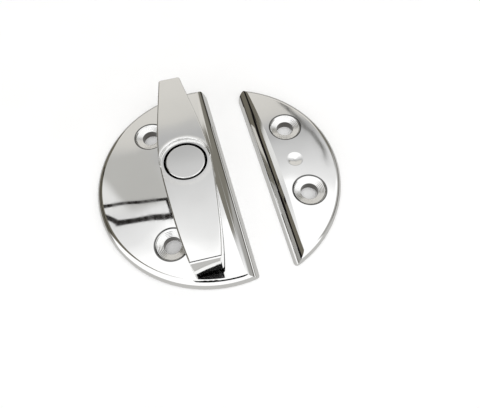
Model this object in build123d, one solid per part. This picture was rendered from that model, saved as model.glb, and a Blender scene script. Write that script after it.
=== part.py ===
from build123d import *
import math
import os

# Round twist catch in two halves, for a pair of flush doors or a door and its frame.
# The larger half carries a turn handle on a spring-loaded stud, the smaller half is the keeper.
# Frame: Z = 0 is the mounting face of both halves, the origin lies half-way between the
# base's two screw holes, +Z points out of the mounting face, +X across the split to the
# keeper, +Y along the split. The handle's pivot axis stands at X = PIVOT_X.
# All sizes in millimetres.

PIVOT_X = 9.45           # pivot axis, from the line through the base's screw holes

# ---- plates: one shallow domed disc, split along a chord -------------------
DISC_R = 35.2            # radius of the disc outline
DOME_R = 950.0           # radius of the crowned top
CROWN_Z = 3.8            # height of the dome over the disc's axis
RIM_ROUND = 2.0          # rounding between the dome and the outer wall
FOOT_EDGE = 0.25         # small bevel where the outer wall meets the mounting face
CORNER_FAR_R = 3.0       # rounding of the split's corners in plan, at +Y
CORNER_NEAR_R = 1.0      # and at -Y

BASE_CX = PIVOT_X + 6.1        # axis of the base disc
BASE_EDGE_X = PIVOT_X + 12.1   # split face of the base
KEEPER_CX = PIVOT_X + 10.7     # axis of the keeper's disc
KEEPER_CY = -1.4
KEEPER_EDGE_X = PIVOT_X + 22.4 # split face of the keeper

# both halves step down towards the split: crease, slope, faint hollow, large round nose
SPLIT_W = 4.9            # from the split face to the crease in the dome
HOLLOW_W = 3.4           # from the split face to the foot of the slope
HOLLOW_Z = 3.2
HOLLOW_R = 1.0
NOSE_TILT = 18.0         # slope of the round nose where it starts, in degrees
NOSE_FOOT = 0.15         # height of the sharp edge that ends the nose

# ---- screw holes -----------------------------------------------------------
BORE_R = 2.65            # clear hole for a 5 mm screw
SINK_R = 4.9             # sharp mouth of the dished seat, before rounding
SINK_Z = 3.4             # height at which the seat has that radius
SEAT_R = 4.5             # the 45 degree lip of the seat ends here
SEAT_DEPTH = 0.95        # from the mouth to the edge of the bore
SINK_LIP = 0.4           # polished rounding of the mouth
BASE_HOLE_X = 0.0
BASE_HOLE_DY = 19.56
KEEPER_HOLE_X = PIVOT_X + 33.6
KEEPER_HOLE_DY = 12.15

# shallow round dimple in the keeper, half-way between its screws
DIMPLE_X = PIVOT_X + 33.0
DIMPLE_Y = -2.0
DIMPLE_R = 2.3
DIMPLE_DEPTH = 0.3
DIMPLE_LIP = 2.0         # rounding of its edge

# ---- turn handle -----------------------------------------------------------
HANDLE_TURN = -1.8       # degrees from parallel with the split, as it stands open
HANDLE_TOP = 13.5        # top of the hub and of the thumb end, at -Y
ARM_TOP = 14.6           # top of the latching end, at +Y
HANDLE_UNDER = 5.2
HUB_FOOT = 4.3           # foot of the hub, on the thrust washer
HUB_FOOT_R = 7.0
THUMB_TIP_Y = -30.9
ARM_TIP_Y = 31.4
# half width of the top at each Y, from the thumb end to the latching end
HALF_WIDTHS = [
    (THUMB_TIP_Y, 4.1), (-25.0, 5.2), (-16.0, 6.3), (-7.0, 7.1), (0.0, 7.45),
    (7.0, 7.05), (19.0, 5.4), (ARM_TIP_Y, 3.3),
]
TIP_R = 0.65             # rounding of the upright corners at both tips
EDGE_R = 0.4             # rounding of the top edges
THUMB_ROUND = 1.0        # larger rounding along the top of the thumb end
STEP_FOOT_R = 7.15       # soft round step from the hub up to the latching end
STEP_HEAD_R = 7.35
STEP_SOFT = 0.3
WELL_R = 6.3             # well for the stud's head and the spring
WELL_FLOOR = 8.5
SHANK_R = 3.5
SHANK_GAP = 0.05         # running clearance on the shank

# ---- stud, spring, washers, clip -------------------------------------------
HEAD_R = 5.65
HEAD_T = 1.6
HEAD_EDGE = 0.3
SPRING_WIRE = 1.0
SPRING_MEAN_R = 4.75
SPOT_Z = 3.65            # flat seat for the thrust washer, cut in the dome
SPOT_R = 7.6
THRUST_R = 7.1
THRUST_T = 0.6
RECESS_R = 7.5           # recess in the back of the base, for washer and clip
RECESS_Z = 2.2
BACK_WASHER_R = 6.6
BACK_WASHER_T = 0.6
CLIP_R = 5.6
CLIP_T = 0.7
CLIP_GAP_W = 3.6
GROOVE_R = 2.8
GROOVE_W = 0.8
STUD_END = 0.35

os.makedirs("parts", exist_ok=True)


def disc(cx, cy):
    """Domed disc with a rounded rim, turned about its own axis."""
    zc = CROWN_Z - DOME_R
    z0 = zc + math.sqrt((DOME_R - RIM_ROUND) ** 2 - (DISC_R - RIM_ROUND) ** 2)
    ux, uz = (DISC_R - RIM_ROUND) / (DOME_R - RIM_ROUND), (z0 - zc) / (DOME_R - RIM_ROUND)
    tx, tz = DOME_R * ux, zc + DOME_R * uz
    a_mid = math.radians(45)
    mx, mz = DISC_R - RIM_ROUND + RIM_ROUND * math.cos(a_mid), z0 + RIM_ROUND * math.sin(a_mid)
    hx = tx / 2
    hz = zc + math.sqrt(DOME_R ** 2 - hx ** 2)
    with BuildPart() as p:
        with BuildSketch(Plane.XZ):
            with BuildLine():
                Line((0, 0), (DISC_R - FOOT_EDGE, 0))
                Line((DISC_R - FOOT_EDGE, 0), (DISC_R, FOOT_EDGE))
                Line((DISC_R, FOOT_EDGE), (DISC_R, z0))
                ThreePointArc((DISC_R, z0), (mx, mz), (tx, tz))
                ThreePointArc((tx, tz), (hx, hz), (0, CROWN_Z))
                Line((0, CROWN_Z), (0, 0))
            make_face()
        revolve(axis=Axis.Z)
    return p.part.moved(Location((cx, cy, 0)))


def dome_z(x, y, cx, cy):
    return CROWN_Z - DOME_R + math.sqrt(DOME_R ** 2 - (x - cx) ** 2 - (y - cy) ** 2)


def split_bar(edge_x, side, cx):
    """What the half keeps at the split, as one long straight bar.
    side is +1 where the split face looks to +X and -1 where it looks to -X."""
    z_crease = dome_z(edge_x - side * SPLIT_W, 0, cx, 0)
    rise = (z_crease - HOLLOW_Z) / (SPLIT_W - HOLLOW_W)
    # one arc through the foot of the slope, with the given tilt there, and the sharp edge
    tilt = math.radians(NOSE_TILT)
    up = HOLLOW_Z - NOSE_FOOT
    nose_r = (HOLLOW_W ** 2 + up ** 2) / (2 * (up * math.cos(tilt) - HOLLOW_W * math.sin(tilt)))
    sc, zc = HOLLOW_W + nose_r * math.sin(tilt), HOLLOW_Z - nose_r * math.cos(tilt)
    a_foot = math.atan2(sc, NOSE_FOOT - zc)
    a_mid = (a_foot + tilt) / 2

    def at(inward, z):
        return (edge_x - side * inward, z)

    top_of_nose = at(HOLLOW_W, HOLLOW_Z)
    with BuildPart() as p:
        with BuildSketch(Plane.XZ) as sk:
            with BuildLine():
                ThreePointArc(at(0, NOSE_FOOT), at(sc - nose_r * math.sin(a_mid), zc + nose_r * math.cos(a_mid)), top_of_nose)
                Polyline(
                    top_of_nose, at(SPLIT_W + 2, z_crease + 2 * rise), at(90, 14), at(90, -3), at(0, -3), at(0, NOSE_FOOT),
                )
            make_face()
            hollow = [v for v in sk.vertices() if abs(v.X - top_of_nose[0]) < 0.01 and abs(v.Y - top_of_nose[1]) < 0.01]
            fillet(hollow, HOLLOW_R)
        extrude(amount=60, both=True)
    return p.part


def plan(cx, cy, edge_x, side):
    """Upright block with the half's outline in plan, its two corners rounded."""
    with BuildPart() as p:
        with BuildSketch(Plane.XY.offset(-1)) as sk:
            with Locations((cx, cy)):
                Circle(DISC_R)
            with Locations((edge_x + side * 60, cy)):
                Rectangle(120, 200, mode=Mode.SUBTRACT)
            corners = [v for v in sk.vertices() if abs(v.X - edge_x) < 0.01]
            fillet([v for v in corners if v.Y > 0], CORNER_FAR_R)
            fillet([v for v in sk.vertices() if abs(v.X - edge_x) < 0.01 and v.Y < 0], CORNER_NEAR_R)
        extrude(amount=14)
    return p.part


def screw_hole(x, y):
    """Bore and shallow dished seat for a screw's head."""
    with BuildPart() as p:
        with BuildSketch(Plane.XZ):
            Polygon(
                (0, -1), (BORE_R, -1), (BORE_R, SINK_Z - SEAT_DEPTH), (SEAT_R, SINK_Z - SINK_R + SEAT_R),
                (SINK_R + 2, SINK_Z + 2), (0, SINK_Z + 2),
                align=None,
            )
        revolve(axis=Axis.Z)
    return p.part.moved(Location((x, y, 0)))


def soften(shape, x, y, r, size):
    """Rounds the one edge that runs round (x, y) at about radius r in the top surface."""
    found = [
        e for e in shape.edges()
        if abs((e @ 0.3 - Vector(x, y, (e @ 0.3).Z)).length - r) < 0.35 and (e @ 0.3).Z > 3.0 and abs(e.length - 2 * math.pi * r) < 2.5
    ]
    return fillet(found, size)


def cyl(r, z0, z1, x=0.0, y=0.0):
    return Cylinder(r, z1 - z0, align=(Align.CENTER, Align.CENTER, Align.MIN)).moved(Location((x, y, z0)))


# ---- base plate: one casting ----------------------------------------------
base = disc(BASE_CX, 0) & split_bar(BASE_EDGE_X, +1, BASE_CX) & plan(BASE_CX, 0, BASE_EDGE_X, +1)
for dy in (-BASE_HOLE_DY, BASE_HOLE_DY):
    base -= screw_hole(BASE_HOLE_X, dy)
    base = soften(base, BASE_HOLE_X, dy, SINK_R, SINK_LIP)
base -= cyl(SPOT_R, SPOT_Z, 8, PIVOT_X)
base -= cyl(RECESS_R, -1, RECESS_Z, PIVOT_X)
base -= cyl(SHANK_R + SHANK_GAP, -1, 8, PIVOT_X)

# ---- keeper plate: one casting --------------------------------------------
keeper = disc(KEEPER_CX, KEEPER_CY) & split_bar(KEEPER_EDGE_X, -1, KEEPER_CX) & plan(KEEPER_CX, KEEPER_CY, KEEPER_EDGE_X, -1)
for dy in (-KEEPER_HOLE_DY, KEEPER_HOLE_DY):
    keeper -= screw_hole(KEEPER_HOLE_X, KEEPER_CY + dy)
    keeper = soften(keeper, KEEPER_HOLE_X, KEEPER_CY + dy, SINK_R, SINK_LIP)
ball_r = (DIMPLE_R ** 2 + DIMPLE_DEPTH ** 2) / (2 * DIMPLE_DEPTH)
dimple_top = dome_z(DIMPLE_X, DIMPLE_Y, KEEPER_CX, KEEPER_CY)
keeper -= Sphere(ball_r).moved(Location((DIMPLE_X, DIMPLE_Y, dimple_top - DIMPLE_DEPTH + ball_r)))
keeper = soften(keeper, DIMPLE_X, DIMPLE_Y, DIMPLE_R, DIMPLE_LIP)

# ---- turn handle: one casting ---------------------------------------------
def handle_bar(top):
    """The whole bar with upright walls, up to top, its top edge rounded."""
    with BuildPart() as p:
        with BuildSketch(Plane.XY.offset(HANDLE_UNDER)) as sk:
            with BuildLine():
                pts = [(w, y) for y, w in HALF_WIDTHS]
                Line((-pts[0][0], pts[0][1]), pts[0])
                Spline(*pts)
                Line(pts[-1], (-pts[-1][0], pts[-1][1]))
                Spline(*[(-x, y) for x, y in reversed(pts)])
            make_face()
            fillet(sk.vertices(), TIP_R)
        extrude(amount=top - HANDLE_UNDER)
        fillet(p.faces().sort_by(Axis.Z)[-1].edges(), EDGE_R)
    return p.part


# thumb end and hub are lower than the latching end, with a soft round step between them
foot, head_pt = (STEP_FOOT_R, HANDLE_TOP + 0.04), (STEP_HEAD_R, ARM_TOP - 0.06)
with BuildPart() as low:
    with BuildSketch(Plane.XZ) as sk:
        Polygon(
            (0, 0), (6.2, 0), (6.2, HANDLE_TOP - 0.1), foot, head_pt, (STEP_HEAD_R + 1.3, ARM_TOP + 0.1),
            (STEP_HEAD_R + 1.3, ARM_TOP + 5), (0, ARM_TOP + 5),
            align=None,
        )
        for pt, r in ((foot, 0.12), (head_pt, STEP_SOFT)):
            fillet([v for v in sk.vertices() if abs(v.X - pt[0]) < 0.01 and abs(v.Y - pt[1]) < 0.01], r)
    revolve(axis=Axis.Z)
low_side = low.part + Box(40, 80, 30, align=(Align.CENTER, Align.MAX, Align.MIN))
arm = handle_bar(ARM_TOP) - low_side
thumb_cut = Box(30, 10, 10).moved(Location((0, THUMB_TIP_Y - 5 + THUMB_ROUND, HANDLE_TOP + 5 - THUMB_ROUND)))
thumb_cut -= Cylinder(THUMB_ROUND, 40, rotation=(0, 90, 0)).moved(Location((0, THUMB_TIP_Y + THUMB_ROUND, HANDLE_TOP - THUMB_ROUND)))
handle = handle_bar(HANDLE_TOP) + arm - thumb_cut
handle += cyl(HUB_FOOT_R, HUB_FOOT, HANDLE_UNDER + 0.5)
handle = handle - cyl(WELL_R, WELL_FLOOR, ARM_TOP + 2) - cyl(SHANK_R + SHANK_GAP, 0, ARM_TOP + 2)
handle = handle.rotate(Axis.Z, HANDLE_TURN)

# ---- stud ------------------------------------------------------------------
HEAD_TOP = HANDLE_TOP
head = cyl(HEAD_R, HEAD_TOP - HEAD_T, HEAD_TOP)
head = fillet(head.edges().filter_by(GeomType.CIRCLE).sort_by(Axis.Z)[-1], HEAD_EDGE)
stud = head + cyl(SHANK_R, STUD_END, HEAD_TOP - HEAD_T)
stud -= cyl(SHANK_R + 1, RECESS_Z - BACK_WASHER_T - GROOVE_W, RECESS_Z - BACK_WASHER_T) - cyl(GROOVE_R, 0, 5)
stud = chamfer(stud.edges().filter_by(GeomType.CIRCLE).sort_by(Axis.Z)[0], 0.3)

# ---- spring under the stud's head -----------------------------------------
spring_lo = WELL_FLOOR + SPRING_WIRE / 2 + 0.01
spring_hi = HEAD_TOP - HEAD_T - SPRING_WIRE / 2 - 0.01
turns = 1.75
pitch = (spring_hi - spring_lo) / turns
coil = Helix(pitch=pitch, height=spring_hi - spring_lo, radius=SPRING_MEAN_R).moved(Location((0, 0, spring_lo)))
wire = Plane(origin=coil @ 0, z_dir=coil % 0) * Circle(SPRING_WIRE / 2)
spring = sweep(wire, path=coil, is_frenet=True)

# ---- washers and clip ------------------------------------------------------
thrust = cyl(THRUST_R, SPOT_Z, SPOT_Z + THRUST_T) - cyl(SHANK_R + 0.1, 0, 8)
back_washer = cyl(BACK_WASHER_R, RECESS_Z - BACK_WASHER_T, RECESS_Z) - cyl(SHANK_R + 0.1, 0, 8)
clip_hi = RECESS_Z - BACK_WASHER_T
clip = cyl(CLIP_R, clip_hi - CLIP_T, clip_hi) - cyl(GROOVE_R, 0, 8)
clip -= Box(CLIP_GAP_W, 2 * CLIP_R, 8, align=(Align.CENTER, Align.MIN, Align.CENTER)).moved(Location((0, 0, 1)))
for t in (210, 330):
    clip -= cyl(0.7, 0, 8, 3.9 * math.cos(math.radians(t)), 3.9 * math.sin(math.radians(t)))

to_pivot = Location((PIVOT_X, 0, 0))
for name, shape in {
    "base_plate": base,
    "keeper_plate": keeper,
    "turn_handle": handle.moved(to_pivot),
    "pivot_stud": stud.moved(to_pivot),
    "hub_spring": spring.moved(to_pivot),
    "thrust_washer": thrust.moved(to_pivot),
    "back_washer": back_washer.moved(to_pivot),
    "retaining_clip": clip.moved(to_pivot),
}.items():
    solids = shape.solids()
    out = solids[0] if len(solids) == 1 else Compound(children=list(solids))
    out.label = name
    export_step(out, f"parts/{name}.step")
    print(name, len(solids), "solid", round(shape.volume, 1), "mm3", "valid" if all(s.is_valid for s in solids) else "INVALID")
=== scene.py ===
import math

import bpy
from mathutils import Matrix, Vector

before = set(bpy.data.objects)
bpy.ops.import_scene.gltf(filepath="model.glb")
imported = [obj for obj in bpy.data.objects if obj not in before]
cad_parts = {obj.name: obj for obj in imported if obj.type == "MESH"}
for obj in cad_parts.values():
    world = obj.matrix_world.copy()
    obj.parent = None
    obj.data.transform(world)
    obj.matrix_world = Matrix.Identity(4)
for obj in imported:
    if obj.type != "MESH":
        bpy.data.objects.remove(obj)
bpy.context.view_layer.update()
MM = 0.001
scene = bpy.context.scene


# ---------------------------------------------------------------- helpers
def new_material(name):
    m = bpy.data.materials.new(name)
    m.use_nodes = True
    nt = m.node_tree
    return m, nt, nt.nodes["Principled BSDF"]


def node(nt, kind, **props):
    n = nt.nodes.new(kind)
    for k, v in props.items():
        setattr(n, k, v)
    return n


def ramp(nt, stops, fac, interpolation="LINEAR"):
    n = node(nt, "ShaderNodeValToRGB")
    cr = n.color_ramp
    cr.interpolation = interpolation
    while len(cr.elements) > 1:
        cr.elements.remove(cr.elements[-1])
    first = True
    for pos, col in stops:
        e = cr.elements[0] if first else cr.elements.new(pos)
        e.position = pos
        c = col if isinstance(col, tuple) else (col, col, col)
        e.color = (*c, 1)
        first = False
    nt.links.new(fac, n.inputs[0])
    return n


def math_node(nt, op, a, b=None, clamp=False):
    n = node(nt, "ShaderNodeMath", operation=op, use_clamp=clamp)
    for i, v in enumerate((a, b)):
        if v is None:
            continue
        if isinstance(v, (int, float)):
            n.inputs[i].default_value = v
        else:
            nt.links.new(v, n.inputs[i])
    return n.outputs[0]


# ---------------------------------------------------------------- materials
def polished_steel(name, tint, rough, wave=0.05, smear=0.03):
    """Mirror-polished cast stainless: polishing waves, faint wipe marks."""
    m, nt, b = new_material(name)
    tc = node(nt, "ShaderNodeTexCoord")
    # colour, a little warmer and darker in large soft patches
    n1 = node(nt, "ShaderNodeTexNoise")
    n1.inputs["Scale"].default_value = 60.0
    n1.inputs["Detail"].default_value = 2.0
    nt.links.new(tc.outputs["Object"], n1.inputs["Vector"])
    lo = tuple(c * 0.975 for c in tint)
    c = ramp(nt, [(0.35, lo), (0.65, tint)], n1.outputs["Fac"])
    nt.links.new(c.outputs[0], b.inputs["Base Color"])
    b.inputs["Metallic"].default_value = 1.0
    # roughness: wipe marks, stretched one way
    mp = node(nt, "ShaderNodeMapping")
    mp.inputs["Scale"].default_value = (900.0, 160.0, 400.0)
    mp.inputs["Rotation"].default_value = (0.0, 0.0, 0.5)
    nt.links.new(tc.outputs["Object"], mp.inputs["Vector"])
    n2 = node(nt, "ShaderNodeTexNoise")
    n2.inputs["Scale"].default_value = 1.0
    n2.inputs["Detail"].default_value = 4.0
    nt.links.new(mp.outputs[0], n2.inputs["Vector"])
    r = ramp(nt, [(0.35, rough), (0.72, rough + smear)], n2.outputs["Fac"])
    nt.links.new(r.outputs[0], b.inputs["Roughness"])
    # bump: the slow waves that hand polishing leaves
    n3 = node(nt, "ShaderNodeTexNoise")
    n3.inputs["Scale"].default_value = 95.0
    n3.inputs["Detail"].default_value = 1.0
    nt.links.new(tc.outputs["Object"], n3.inputs["Vector"])
    bump = node(nt, "ShaderNodeBump")
    bump.inputs["Strength"].default_value = wave
    bump.inputs["Distance"].default_value = 0.0012
    nt.links.new(n3.outputs["Fac"], bump.inputs["Height"])
    nt.links.new(bump.outputs[0], b.inputs["Normal"])
    return m


def plain_steel(name, tint, rough, scale):
    """Drawn wire and stamped washers: satin, with fine lines."""
    m, nt, b = new_material(name)
    tc = node(nt, "ShaderNodeTexCoord")
    n1 = node(nt, "ShaderNodeTexNoise")
    n1.inputs["Scale"].default_value = scale
    n1.inputs["Detail"].default_value = 6.0
    nt.links.new(tc.outputs["Object"], n1.inputs["Vector"])
    c = ramp(nt, [(0.3, tuple(v * 0.85 for v in tint)), (0.7, tint)], n1.outputs["Fac"])
    nt.links.new(c.outputs[0], b.inputs["Base Color"])
    r = ramp(nt, [(0.3, rough - 0.07), (0.7, rough + 0.07)], n1.outputs["Fac"])
    nt.links.new(r.outputs[0], b.inputs["Roughness"])
    b.inputs["Metallic"].default_value = 1.0
    bump = node(nt, "ShaderNodeBump")
    bump.inputs["Strength"].default_value = 0.15
    bump.inputs["Distance"].default_value = 0.0001
    nt.links.new(n1.outputs["Fac"], bump.inputs["Height"])
    nt.links.new(bump.outputs[0], b.inputs["Normal"])
    return m


def round_mask(nt, obj_coord, x, y, r_in, r_out):
    """1 inside r_in of the upright axis at (x, y), 0 outside r_out; metres."""
    p = node(nt, "ShaderNodeVectorMath", operation="SUBTRACT")
    nt.links.new(obj_coord, p.inputs[0])
    p.inputs[1].default_value = (x, y, 0.0)
    q = node(nt, "ShaderNodeVectorMath", operation="MULTIPLY")
    nt.links.new(p.outputs[0], q.inputs[0])
    q.inputs[1].default_value = (1.0, 1.0, 0.0)
    ln = node(nt, "ShaderNodeVectorMath", operation="LENGTH")
    nt.links.new(q.outputs[0], ln.inputs[0])
    m = node(nt, "ShaderNodeMapRange")
    nt.links.new(ln.outputs["Value"], m.inputs["Value"])
    m.inputs["From Min"].default_value = r_out
    m.inputs["From Max"].default_value = r_in
    return m.outputs["Result"], ln.outputs["Value"]


def below(nt, obj_coord, z, soft=0.00005):
    sp = node(nt, "ShaderNodeSeparateXYZ")
    nt.links.new(obj_coord, sp.inputs[0])
    m = node(nt, "ShaderNodeMapRange")
    nt.links.new(sp.outputs[2], m.inputs["Value"])
    m.inputs["From Min"].default_value = z
    m.inputs["From Max"].default_value = z - soft
    return m.outputs["Result"]


def blend(nt, socket, value, mask, colour=False):
    """Mixes what already feeds a socket with a constant, where mask is 1."""
    old = socket.links[0].from_socket
    if colour:
        mix = node(nt, "ShaderNodeMix", data_type="RGBA")
        nt.links.new(mask, mix.inputs[0])
        nt.links.new(old, mix.inputs[6])
        mix.inputs[7].default_value = (*value, 1)
        nt.links.new(mix.outputs[2], socket)
    else:
        mix = node(nt, "ShaderNodeMix")
        nt.links.new(mask, mix.inputs[0])
        nt.links.new(old, mix.inputs[2])
        mix.inputs[3].default_value = value
        nt.links.new(mix.outputs[0], socket)


PX = 0.00945
HOLES = [(0.0, -0.01956), (0.0, 0.01956), (0.04305, -0.01355), (0.04305, 0.01075)]


def turned_holes(m):
    """Countersinks as the tool left them: fine turning rings, less polish; rougher bores darkened with painted shade,
    and a near-black painted reflection round each rim.
    """
    nt = m.node_tree
    b = nt.nodes["Principled BSDF"]
    tc = node(nt, "ShaderNodeTexCoord")
    obj = tc.outputs["Object"]
    total = bore = radius = rim_painted_reflection = None
    for x, y in HOLES:
        mk, ln = round_mask(nt, obj, x, y, 0.0047, 0.0049)
        bk, _ = round_mask(nt, obj, x, y, 0.00268, 0.00272)
        outer, _ = round_mask(nt, obj, x, y, 0.00520, 0.00530)
        inner, _ = round_mask(nt, obj, x, y, 0.00476, 0.00484)
        lip = math_node(nt, "SUBTRACT", outer, inner, clamp=True)
        rim_painted_reflection = lip if rim_painted_reflection is None else math_node(nt, "MAXIMUM", rim_painted_reflection, lip)
        total = mk if total is None else math_node(nt, "MAXIMUM", total, mk)
        bore = bk if bore is None else math_node(nt, "MAXIMUM", bore, bk)
        radius = ln if radius is None else math_node(nt, "MINIMUM", radius, ln)
    ring = math_node(nt, "SINE", math_node(nt, "MULTIPLY", radius, 2 * math.pi / 0.00042))
    blend(nt, b.inputs["Roughness"], 0.17, total)
    blend(nt, b.inputs["Roughness"], 0.30, bore)
    # painted shade: the bores' colour is darkened to stand in for the shade inside the holes
    blend(nt, b.inputs["Base Color"], (0.16, 0.155, 0.15), bore, colour=True)
    # painted reflection: a near-black ring at each countersink's rim stands in for the dark surroundings reflected in
    # the rounded edge
    blend(nt, b.inputs["Base Color"], (0.05, 0.05, 0.048), math_node(nt, "MULTIPLY", rim_painted_reflection, 0.9), colour=True)
    bump = node(nt, "ShaderNodeBump")
    bump.inputs["Distance"].default_value = 0.00002
    nt.links.new(ring, bump.inputs["Height"])
    nt.links.new(math_node(nt, "MULTIPLY", total, 0.55), bump.inputs["Strength"])
    old = b.inputs["Normal"].links[0].from_socket
    nt.links.new(old, bump.inputs["Normal"])
    nt.links.new(bump.outputs[0], b.inputs["Normal"])


def well_painted_shadow(m, z_handle):
    """Painted shadow: near-black colour, made rougher, in the gap round the stud's head."""
    nt = m.node_tree
    b = nt.nodes["Principled BSDF"]
    tc = node(nt, "ShaderNodeTexCoord")
    obj = tc.outputs["Object"]
    mk, _ = round_mask(nt, obj, PX, 0.0, 0.0064, 0.00645)
    mk = math_node(nt, "MULTIPLY", mk, below(nt, obj, z_handle))
    # painted shadow: the gap between the stud's head and the well wall is coloured near-black
    blend(nt, b.inputs["Base Color"], (0.012, 0.012, 0.012), mk, colour=True)
    blend(nt, b.inputs["Roughness"], 0.75, mk)
    # the polish is softer on the round step
    wide, _ = round_mask(nt, obj, PX, 0.0, 0.0080, 0.0084)
    slim, _ = round_mask(nt, obj, PX, 0.0, 0.0068, 0.0070)
    step = math_node(nt, "SUBTRACT", wide, slim, clamp=True)
    sp = node(nt, "ShaderNodeSeparateXYZ")
    nt.links.new(obj, sp.inputs[0])
    above = math_node(nt, "GREATER_THAN", sp.outputs[2], 0.01345)
    blend(nt, b.inputs["Roughness"], 0.26, math_node(nt, "MULTIPLY", step, above))


plate_mat = polished_steel("polished_plate", (0.90, 0.90, 0.895), 0.03, wave=0.032)
handle_mat = polished_steel("polished_handle", (0.90, 0.90, 0.893), 0.05, wave=0.04)
stud_mat = polished_steel("polished_stud", (0.88, 0.88, 0.872), 0.06, wave=0.03)
turned_holes(plate_mat)
well_painted_shadow(handle_mat, 0.01346)
well_painted_shadow(stud_mat, 0.01335)
wire_mat = plain_steel("spring_wire", (0.55, 0.55, 0.54), 0.32, 1500.0)
washer_mat = plain_steel("stamped_washer", (0.62, 0.62, 0.61), 0.30, 900.0)

for name, mat in {
    "base_plate": plate_mat, "keeper_plate": plate_mat, "turn_handle": handle_mat, "pivot_stud": stud_mat,
    "hub_spring": wire_mat, "thrust_washer": washer_mat, "back_washer": washer_mat, "retaining_clip": washer_mat,
}.items():
    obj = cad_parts[name]
    if not obj.data.materials:
        obj.data.materials.append(mat)
    for i in range(len(obj.data.materials)):
        obj.data.materials[i] = mat

# ---------------------------------------------------------------- floor
bpy.ops.mesh.primitive_plane_add(size=6.0, location=(0, 0, -0.00002))
floor = bpy.context.object
floor.name = "floor"
fm, nt, b = new_material("pale_floor")
tc = node(nt, "ShaderNodeTexCoord")
n1 = node(nt, "ShaderNodeTexNoise")
n1.inputs["Scale"].default_value = 40.0
nt.links.new(tc.outputs["Object"], n1.inputs["Vector"])
c = ramp(nt, [(0.3, 0.93), (0.7, 0.95)], n1.outputs["Fac"])
nt.links.new(c.outputs[0], b.inputs["Base Color"])
b.inputs["Roughness"].default_value = 0.9
b.inputs["Specular IOR Level"].default_value = 0.1
floor.data.materials.append(fm)

# ---------------------------------------------------------------- surroundings
# A white tent that turns grey towards the far side, and a darker room at the sides.
world = bpy.data.worlds.new("studio")
scene.world = world
world.use_nodes = True
wt = world.node_tree
wt.nodes.clear()
out = node(wt, "ShaderNodeOutputWorld")
bg = node(wt, "ShaderNodeBackground")
wt.links.new(bg.outputs[0], out.inputs[0])
tc = node(wt, "ShaderNodeTexCoord")
sep = node(wt, "ShaderNodeSeparateXYZ")
wt.links.new(tc.outputs["Generated"], sep.inputs[0])
X, Y, Z = sep.outputs
zc = math_node(wt, "MAXIMUM", Z, 0.02)
t = math_node(wt, "DIVIDE", Y, zc)              # slope towards the far side
az = math_node(wt, "MULTIPLY", math_node(wt, "ARCTAN2", X, Y), 180 / math.pi)   # from +Y towards +X
azn = math_node(wt, "DIVIDE", math_node(wt, "ADD", az, 60.0), 120.0, clamp=True)
reach = ramp(wt, [(0.27, 0.0), (0.36, 0.5), (0.5, 0.0), (0.735, 1.0), (0.85, 0.3)], azn)      # how far the white reaches
t0 = math_node(wt, "DIVIDE", t, 2.0)
near = node(wt, "ShaderNodeMapRange", interpolation_type="SMOOTHSTEP")
wt.links.new(t0, near.inputs["Value"])
near.inputs["From Min"].default_value = 0.34
near.inputs["From Max"].default_value = 0.24
tn = math_node(wt, "SUBTRACT", t0, math_node(wt, "MULTIPLY", math_node(wt, "MULTIPLY", reach.outputs[0], near.outputs["Result"]), 0.085), clamp=True)
WHITE = 1.15
far = ramp(wt, [
    (0.195, WHITE), (0.22, 0.89), (0.34, 0.64), (0.37, 0.50), (0.39, 0.50),
    (0.43, (0.67, 0.655, 0.62)), (0.55, (0.76, 0.74, 0.70)), (0.80, (0.70, 0.68, 0.64)),
], tn)

el = math_node(wt, "MULTIPLY", math_node(wt, "ARCSINE", Z), 180 / math.pi)


def step_in(value, lo, hi):
    """0 below lo, 1 above hi."""
    n = node(wt, "ShaderNodeMapRange", interpolation_type="SMOOTHSTEP")
    wt.links.new(value, n.inputs["Value"])
    n.inputs["From Min"].default_value = lo
    n.inputs["From Max"].default_value = hi
    return n.outputs["Result"]


def inside(value, a, b, soft):
    return math_node(wt, "MULTIPLY", step_in(value, a - soft, a), math_node(wt, "SUBTRACT", 1.0, step_in(value, b, b + soft)))


def both(a, b):
    return math_node(wt, "MULTIPLY", a, b)


def lay(under, colour, mask):
    mix = node(wt, "ShaderNodeMix", data_type="RGBA")
    wt.links.new(mask, mix.inputs[0])
    wt.links.new(under, mix.inputs[6])
    mix.inputs[7].default_value = (*colour, 1)
    return mix.outputs[2]


wobble = node(wt, "ShaderNodeTexNoise")
wobble.inputs["Scale"].default_value = 9.0
wt.links.new(tc.outputs["Generated"], wobble.inputs["Vector"])
shift = math_node(wt, "MULTIPLY", math_node(wt, "SUBTRACT", wobble.outputs["Fac"], 0.5), 16.0)
el_w = math_node(wt, "ADD", el, shift)

sky = far.outputs[0]
# a darker patch of the tent to the left of the middle, lighter beyond it
sky = lay(sky, (0.52, 0.515, 0.495), both(inside(az, -23, -13, 5), inside(t0, 0.30, 0.40, 0.03)))
sky = lay(sky, (0.84, 0.84, 0.83), both(inside(az, -36, -26, 3), inside(t0, 0.30, 0.42, 0.03)))
# a seam of the tent, dark, running down to the right
seam = math_node(wt, "ADD", t0, math_node(wt, "MULTIPLY", az, 0.0113))
sky = lay(sky, (0.16, 0.158, 0.15), both(inside(az, 20, 34, 4), inside(seam, 0.705, 0.709, 0.006)))
# east side: grey, and a dark olive corner towards the far side
sky = lay(sky, (0.40, 0.395, 0.38), both(inside(az, 58, 115, 6), inside(el, -90, 29, 8)))
sky = lay(sky, (0.21, 0.20, 0.17), both(inside(az, 44, 58, 3), inside(el, -90, 38, 6)))
# west side: brown-olive, with something black in it
slant = math_node(wt, "ADD", el, math_node(wt, "MULTIPLY", az, 0.6))
sky = lay(sky, (0.16, 0.148, 0.118), both(inside(az, -76, -23.5, 2), inside(slant, -90, 32.4, 1.2)))
sky = lay(sky, (0.006, 0.006, 0.006), both(inside(az, -72, -37, 2), inside(el_w, 29.5, 38.5, 0.8)))
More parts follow.
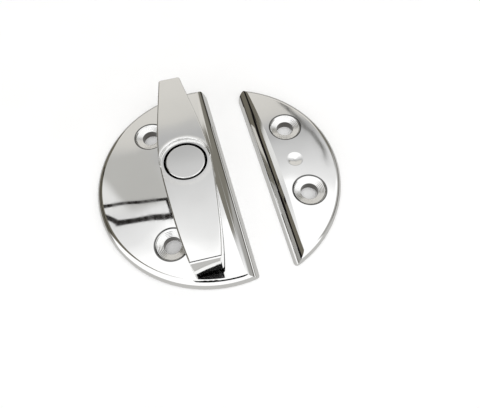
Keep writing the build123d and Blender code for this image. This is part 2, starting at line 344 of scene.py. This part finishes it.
# dark horizon all round
sky = lay(sky, (0.075, 0.068, 0.055), both(inside(az, -80, 100, 8), inside(el, -90, 8, 4)))
sky = lay(sky, (0.012, 0.011, 0.010), both(inside(az, -80, 100, 8), inside(el, -90, 3, 3)))
wt.links.new(sky, bg.inputs[0])
bg.inputs[1].default_value = 1.0

# ---------------------------------------------------------------- camera
cam = bpy.data.cameras.new("camera")
cam_ob = bpy.data.objects.new("camera", cam)
scene.collection.objects.link(cam_ob)
scene.camera = cam_ob
cam.lens = 31.47
cam.sensor_width = 36.0
cam.clip_start = 0.001
cam.clip_end = 20.0
right = Vector((0.9659, -0.2551, -0.0434)).normalized()
back = Vector((-0.0806, -0.4559, 0.8864)).normalized()
up = back.cross(right).normalized()
PIVOT_X = 9.45
eye = Vector((PIVOT_X + 2.37, -68.95, 113.21)) * MM
cam_ob.matrix_world = Matrix((
    (right.x, up.x, back.x, eye.x), (right.y, up.y, back.y, eye.y), (right.z, up.z, back.z, eye.z), (0, 0, 0, 1),
))


# ---------------------------------------------------------------- things the polish reflects
def emission(name, colour, strength=1.0):
    m = bpy.data.materials.new(name)
    m.use_nodes = True
    nt = m.node_tree
    nt.nodes.clear()
    o = node(nt, "ShaderNodeOutputMaterial")
    e = node(nt, "ShaderNodeEmission")
    e.inputs[0].default_value = (*colour, 1)
    e.inputs[1].default_value = strength
    nt.links.new(e.outputs[0], o.inputs[0])
    return m


def only_reflected(ob):
    ob.visible_camera = False
    ob.visible_diffuse = False
    ob.visible_shadow = False
    ob.visible_transmission = False
    ob.visible_volume_scatter = False


# the floor near the object, as the polish shows it: a glowing copy, greyer than the lit floor, that paints the
# floor's shade into the reflections
bpy.ops.mesh.primitive_plane_add(size=6.0, location=(0, 0, -0.00001))
low_floor = bpy.context.object
low_floor.name = "floor_in_the_polish"
low_floor.data.materials.append(emission("floor_reflected", (0.56, 0.555, 0.54)))
only_reflected(low_floor)
floor.visible_glossy = False

# the dark side that the camera stands on
bpy.ops.mesh.primitive_plane_add(size=1.0)
dark = bpy.context.object
dark.name = "dark_camera_side"
dark.data.materials.append(emission("dark_side", (0.012, 0.012, 0.012)))
dark.matrix_world = cam_ob.matrix_world @ Matrix.Translation((-0.008, -0.010, 0.006)) @ Matrix.Diagonal((0.07, 0.05, 1, 1))
only_reflected(dark)

# a light-framed panel that stands beyond the far left: the base's left half shows it
def bar(name, a, b, thick, mat):
    """Flat bar from a to b, facing the object."""
    a, b = Vector(a), Vector(b)
    mid = (a + b) / 2
    facing = (Vector((PIVOT_X * MM, 0, 0)) - mid).normalized()
    along = (b - a).normalized()
    across = along.cross(facing).normalized()
    facing = across.cross(along).normalized()
    bpy.ops.mesh.primitive_plane_add(size=1.0)
    ob = bpy.context.object
    ob.name = name
    ob.data.materials.append(mat)
    length = (b - a).length + thick
    ob.matrix_world = Matrix((
        (along.x * length, across.x * thick, facing.x, mid.x), (along.y * length, across.y * thick, facing.y, mid.y),
        (along.z * length, across.z * thick, facing.z, mid.z), (0, 0, 0, 1),
    ))
    only_reflected(ob)
    return ob


def mirrored(px, py, dist):
    """Where the ray from the eye that meets the plate at (px, py) goes, dist beyond it."""
    p = Vector((px, py, 3.6)) * MM
    r = (p - eye).normalized()
    n = Vector(((px - PIVOT_X - 6.1) / 950, py / 950, 1.0)).normalized()
    return p + (r - 2 * r.dot(n) * n) * dist


gear_dark = emission("gear_dark", (0.012, 0.010, 0.009))
GEAR = 0.12
corner = {k: mirrored(x, y, GEAR) for k, (x, y) in {
    "far_left": (PIVOT_X - 27.6, -1.8), "far_right": (PIVOT_X - 8.5, -4.8),
    "near_right": (PIVOT_X - 7.9, -10.8), "near_left": (PIVOT_X - 23.2, -8.5),
}.items()}
bar("gear_far", corner["far_left"], corner["far_right"], 0.0021, gear_dark)
bar("gear_right", corner["far_right"], corner["near_right"], 0.0023, gear_dark)
bar("gear_near", corner["near_right"], corner["near_left"], 0.0036, gear_dark)
bar("gear_left", corner["near_left"], mirrored(PIVOT_X - 26.8, -5.0, GEAR), 0.0030, gear_dark)

# pale backdrop that only the camera sees, so that no view looks past the floor
bpy.ops.mesh.primitive_cylinder_add(vertices=96, radius=2.6, depth=4.0, end_fill_type="NOTHING", location=(0, 0, 1.9))
backdrop = bpy.context.object
backdrop.name = "backdrop"
backdrop.data.materials.append(emission("backdrop_pale", (0.93, 0.93, 0.925)))
for flag in ("diffuse", "glossy", "shadow", "transmission", "volume_scatter"):
    setattr(backdrop, "visible_" + flag, False)

# soft light from above
light = bpy.data.lights.new("soft_top", "AREA")
light.shape = "DISK"
light.size = 1.2
light.energy = 4.5
light_ob = bpy.data.objects.new("soft_top", light)
light_ob.location = (0.15, -0.1, 1.4)
scene.collection.objects.link(light_ob)
light_ob.visible_glossy = False

scene.view_settings.view_transform = "Standard"
scene.view_settings.look = "None"
